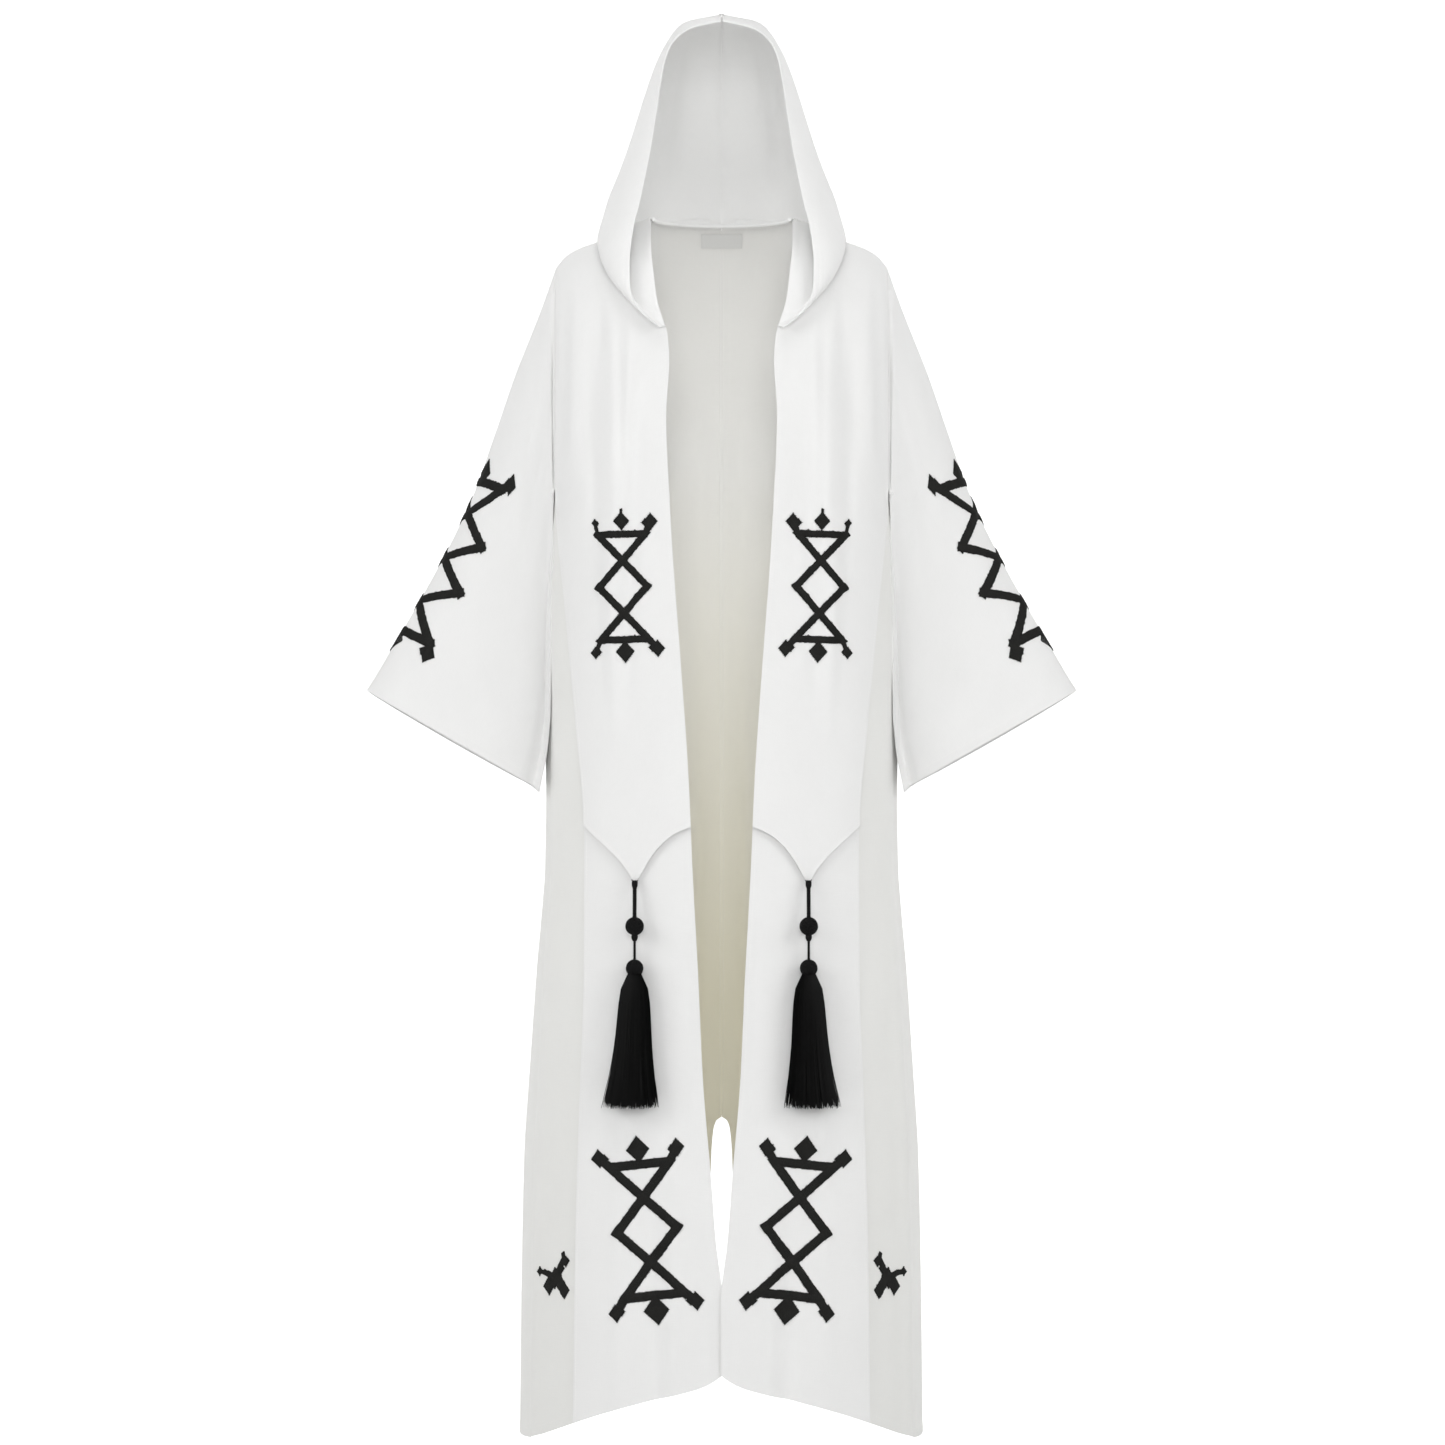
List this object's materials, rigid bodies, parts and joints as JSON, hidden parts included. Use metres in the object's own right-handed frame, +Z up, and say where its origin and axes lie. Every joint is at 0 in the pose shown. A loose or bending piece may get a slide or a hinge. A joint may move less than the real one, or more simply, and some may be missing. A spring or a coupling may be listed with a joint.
{
  "type": "muslin kaftan",
  "caption": "Hooded open-front muslin kaftan with wide sleeves, side gores, pointed front hems, dark geometric bands and tassels, in its worn hollow form.",
  "frame": {"origin": "on the middle plane, level with the wearer's shoulders where they meet the neck, under the shoulder seams", "axes": "+Z up, the front faces -Y, the wearer's left is +X"},
  "size_m": [0.8508, 0.3219, 1.7003],
  "materials": {
    "muslin": "matte plain weave",
    "muslin_side": "matte plain weave",
    "embroidery": "matte braid",
    "tassel_yarn": "soft silky yarn",
    "label_tape": "satin tape"
  },
  "bodies": {
    "root": {"hood_left": "muslin", "hood_right": "muslin", "front_upper_left": "muslin", "front_upper_right": "muslin", "front_lower_left": "muslin", "front_lower_right": "muslin", "back_left": "muslin", "back_right": "muslin", "side_gore_left": "muslin_side", "side_gore_right": "muslin_side", "sleeve_left": "muslin", "sleeve_right": "muslin", "motif_upper_left": "embroidery", "motif_upper_right": "embroidery", "motif_lower_left": "embroidery", "motif_lower_right": "embroidery", "motif_sleeve_left": "embroidery", "motif_sleeve_right": "embroidery", "motif_gore_left": "embroidery", "motif_gore_right": "embroidery", "tassel_cord_left": "tassel_yarn", "tassel_cord_right": "tassel_yarn", "tassel_bead_left": "tassel_yarn", "tassel_bead_right": "tassel_yarn", "tassel_link_left": "tassel_yarn", "tassel_link_right": "tassel_yarn", "tassel_left": "tassel_yarn", "tassel_right": "tassel_yarn", "neck_label": "label_tape"}
  },
  "joints": []
}
